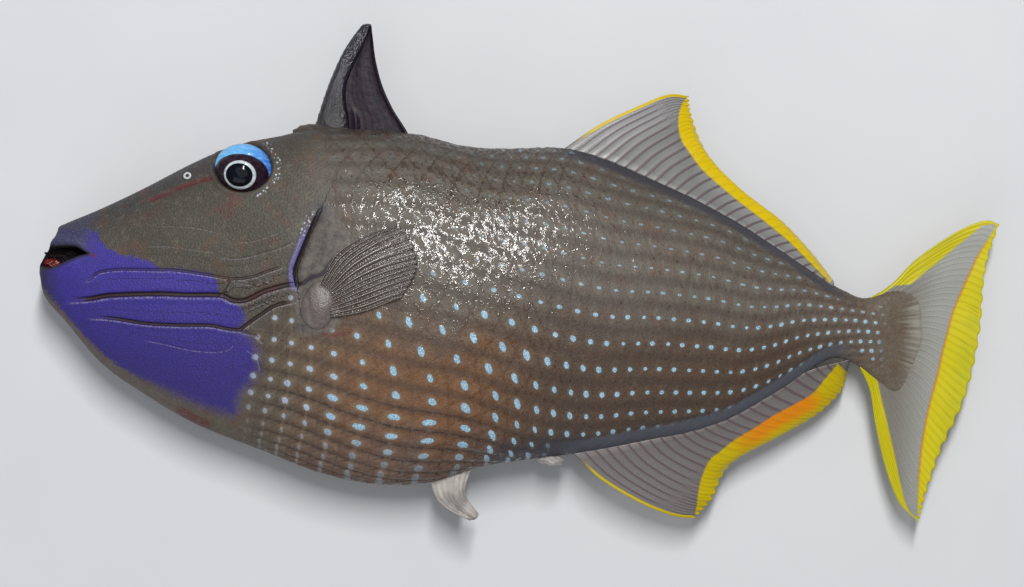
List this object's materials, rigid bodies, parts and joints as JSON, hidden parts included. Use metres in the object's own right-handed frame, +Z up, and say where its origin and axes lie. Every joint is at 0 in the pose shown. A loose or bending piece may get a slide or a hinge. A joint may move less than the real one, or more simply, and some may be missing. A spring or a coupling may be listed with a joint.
{
  "type": "gilded triggerfish",
  "caption": "Life-size model of a caught triggerfish lying on its right side, with erect dorsal spine, spread fins, open mouth and scaled flanks.",
  "frame": {"origin": "on the floor, under the middle of the whole fish's box", "axes": "+X from the snout to the tail, +Y from the belly to the back, +Z up from the floor through the right flank to the left flank"},
  "size_m": [0.1588, 0.0806, 0.0248],
  "materials": {
    "skin": "wet, rough-scaled skin, olive grey with pale blue spots and a violet cheek",
    "lips": "smooth wet dark lips",
    "eyes": "clear wet eye, black pupil in a white ring, blue upper rim",
    "spine": "glossy black spine and membrane",
    "yellow_fins": "thin clear rays with a golden yellow margin",
    "pale_fins": "pale grey rays and skin, translucent"
  },
  "bodies": {
    "root": {"head": "skin", "upper_lip": "lips", "lower_lip": "lips", "trunk": "skin", "tail_stalk": "skin", "eye_left": "eyes", "eye_right": "eyes", "dorsal_spine": "spine", "dorsal_spine_membrane": "spine", "second_dorsal_fin": "yellow_fins", "anal_fin": "yellow_fins", "tail_fin": "yellow_fins", "pectoral_fin_left": "pale_fins", "pectoral_fin_right": "pale_fins", "pelvic_flap": "pale_fins"}
  },
  "joints": []
}
